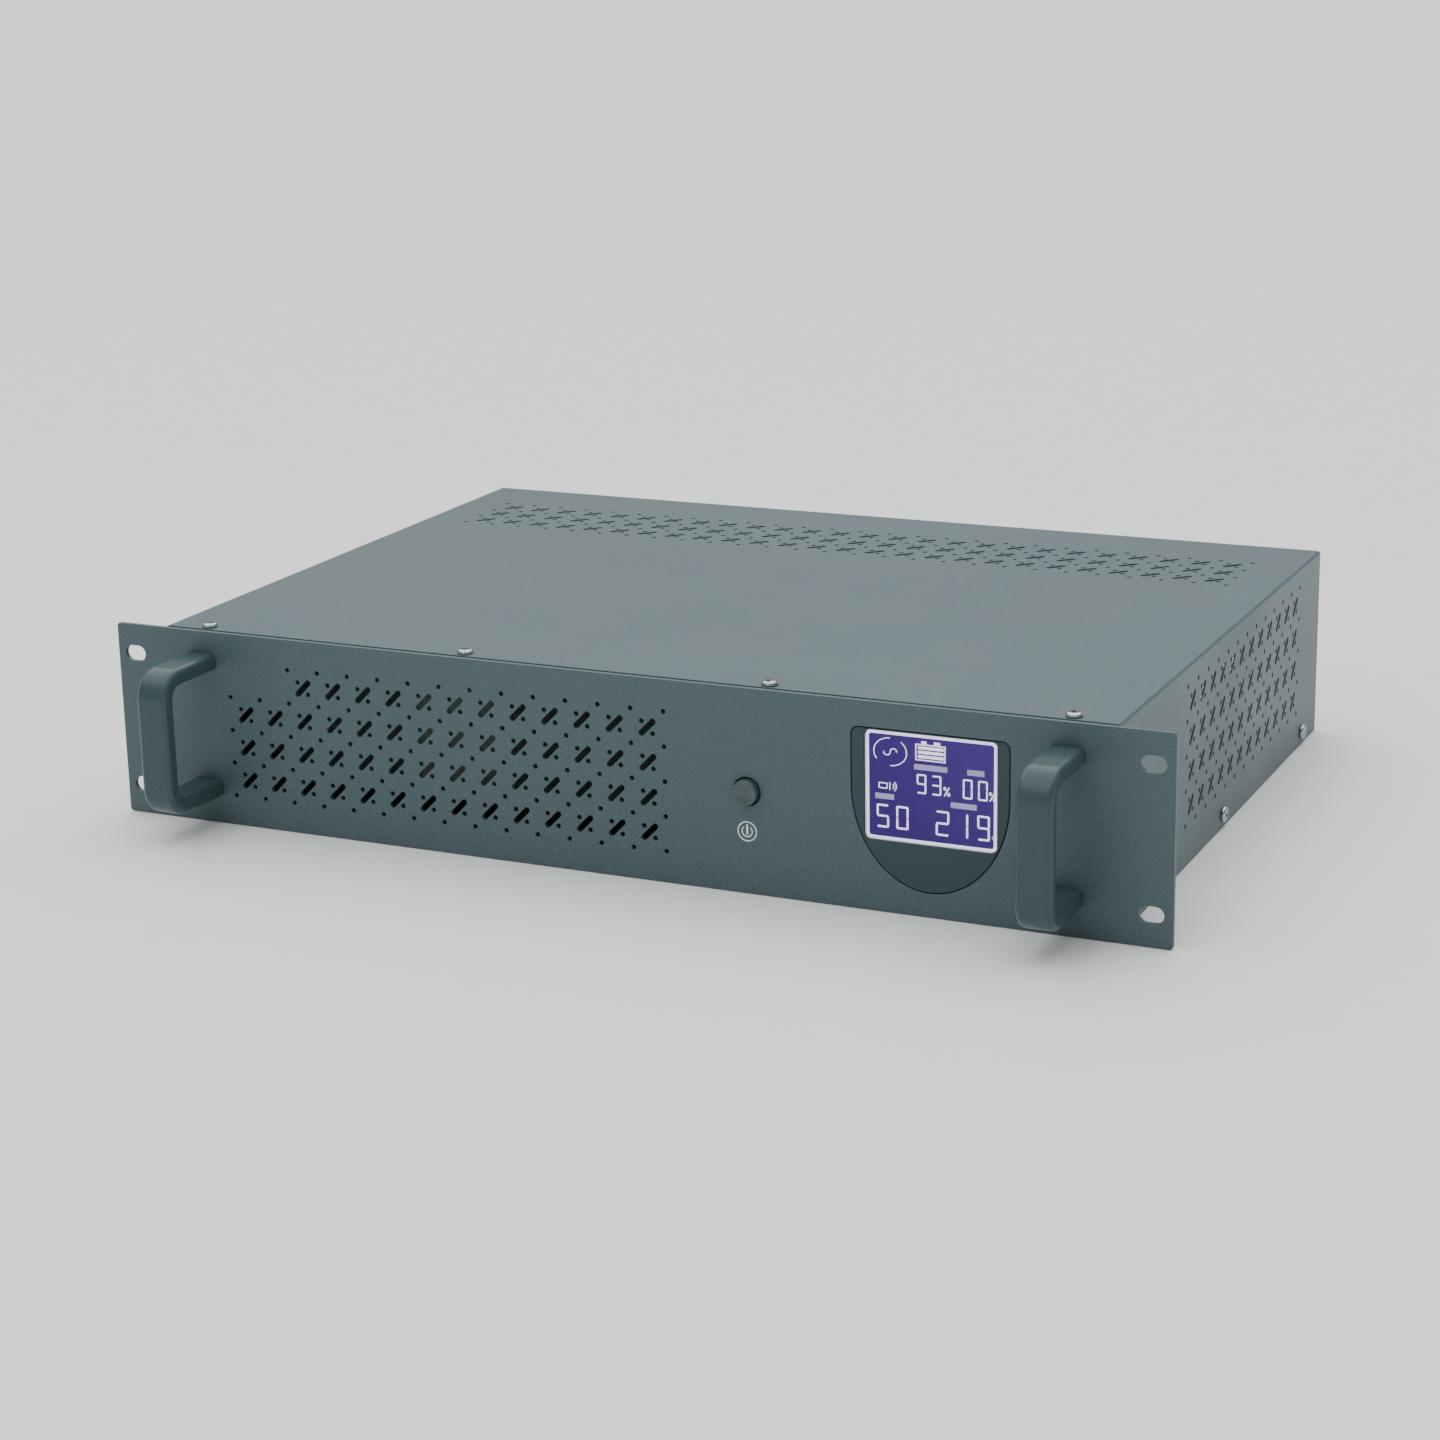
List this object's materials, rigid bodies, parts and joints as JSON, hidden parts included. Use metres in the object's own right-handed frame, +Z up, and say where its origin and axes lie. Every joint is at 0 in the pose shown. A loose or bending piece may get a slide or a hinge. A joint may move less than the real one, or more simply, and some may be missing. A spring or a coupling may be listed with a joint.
{
  "type": "uninterruptible power supply",
  "caption": "Rack-mount power backup: vented steel case, flat front panel with two handles, power button and shield-shaped display, sockets at the back.",
  "frame": {"origin": "on the ground under the middle of the whole object", "axes": "+Z up, +Y from the front panel towards the back, +X to the right as seen from the front"},
  "size_m": [0.4826, 0.356, 0.0889],
  "materials": {
    "coated_steel": "fine-textured dark grey-green powder coat",
    "handle_paint": "satin dark grey-green coat, finely textured",
    "zinc": "bright zinc plate",
    "bezel_plastic": "fine matt moulded plastic",
    "screen": "clear window over a lit blue-violet display",
    "button_plastic": "satin moulded plastic",
    "black_plastic": "matt black plastic",
    "circuit_board": "green solder resist",
    "battery_case": "dark grey moulded case",
    "zinc_sheet": "zinc-plated sheet steel",
    "red_lead": "red insulation",
    "black_lead": "black insulation",
    "lamination": "varnished silicon-steel laminations",
    "copper": "enamelled copper wire",
    "aluminium": "plain extruded aluminium",
    "relay_blue": "blue moulded case"
  },
  "bodies": {
    "chassis": {"battery_1": "battery_case", "battery_2": "battery_case", "battery_bracket": "zinc_sheet", "battery_lead_black": "black_lead", "battery_lead_red": "red_lead", "battery_link": "black_lead", "breaker_body": "black_plastic", "button_switch": "black_plastic", "capacitor_1": "black_plastic", "capacitor_2": "black_plastic", "capacitor_3": "black_plastic", "card_slot_cover": "coated_steel", "chassis_tray": "coated_steel", "cover_screw_left_1": "zinc", "cover_screw_left_2": "zinc", "cover_screw_left_3": "zinc", "cover_screw_right_1": "zinc", "cover_screw_right_2": "zinc", "cover_screw_right_3": "zinc", "cover_screw_top_1": "zinc", "cover_screw_top_2": "zinc", "cover_screw_top_3": "zinc", "cover_screw_top_4": "zinc", "display_bezel": "bezel_plastic", "display_board": "circuit_board", "display_module": "black_plastic", "display_window": "screen", "fan_frame": "black_plastic", "front_panel": "coated_steel", "handle_left": "handle_paint", "handle_right": "handle_paint", "handle_screw_1": "zinc", "handle_screw_2": "zinc", "handle_screw_3": "zinc", "handle_screw_4": "zinc", "heatsink_1": "aluminium", "heatsink_2": "aluminium", "inlet_socket": "black_plastic", "main_board": "circuit_board", "outlet_1": "black_plastic", "outlet_2": "black_plastic", "outlet_3": "black_plastic", "outlet_4": "black_plastic", "rear_panel": "coated_steel", "relay_1": "relay_blue", "relay_2": "relay_blue", "serial_port": "aluminium", "surge_jack": "black_plastic", "top_cover": "coated_steel", "transformer_core": "lamination", "transformer_foot": "zinc_sheet", "transformer_winding": "copper", "usb_port": "aluminium"},
    "power_button": {"power_button": "button_plastic"},
    "fan_rotor": {"fan_rotor": "black_plastic"},
    "breaker_button": {"breaker_button": "black_plastic"}
  },
  "joints": [
    {"name": "power_button_press", "type": "slide", "parent": "chassis", "child": "power_button", "axis": [0, 1, 0], "range_m": [0, 0.0025], "stiffness_N_per_m": 500, "springref_m": -0.001},
    {"name": "fan_spin", "type": "hinge", "parent": "chassis", "child": "fan_rotor", "pos_m": [0.16, 0.1595, 0.0435], "axis": [0, 1, 0], "continuous": true},
    {"name": "breaker_reset", "type": "slide", "parent": "chassis", "child": "breaker_button", "axis": [0, 1, 0], "range_m": [0, 0.003]}
  ]
}
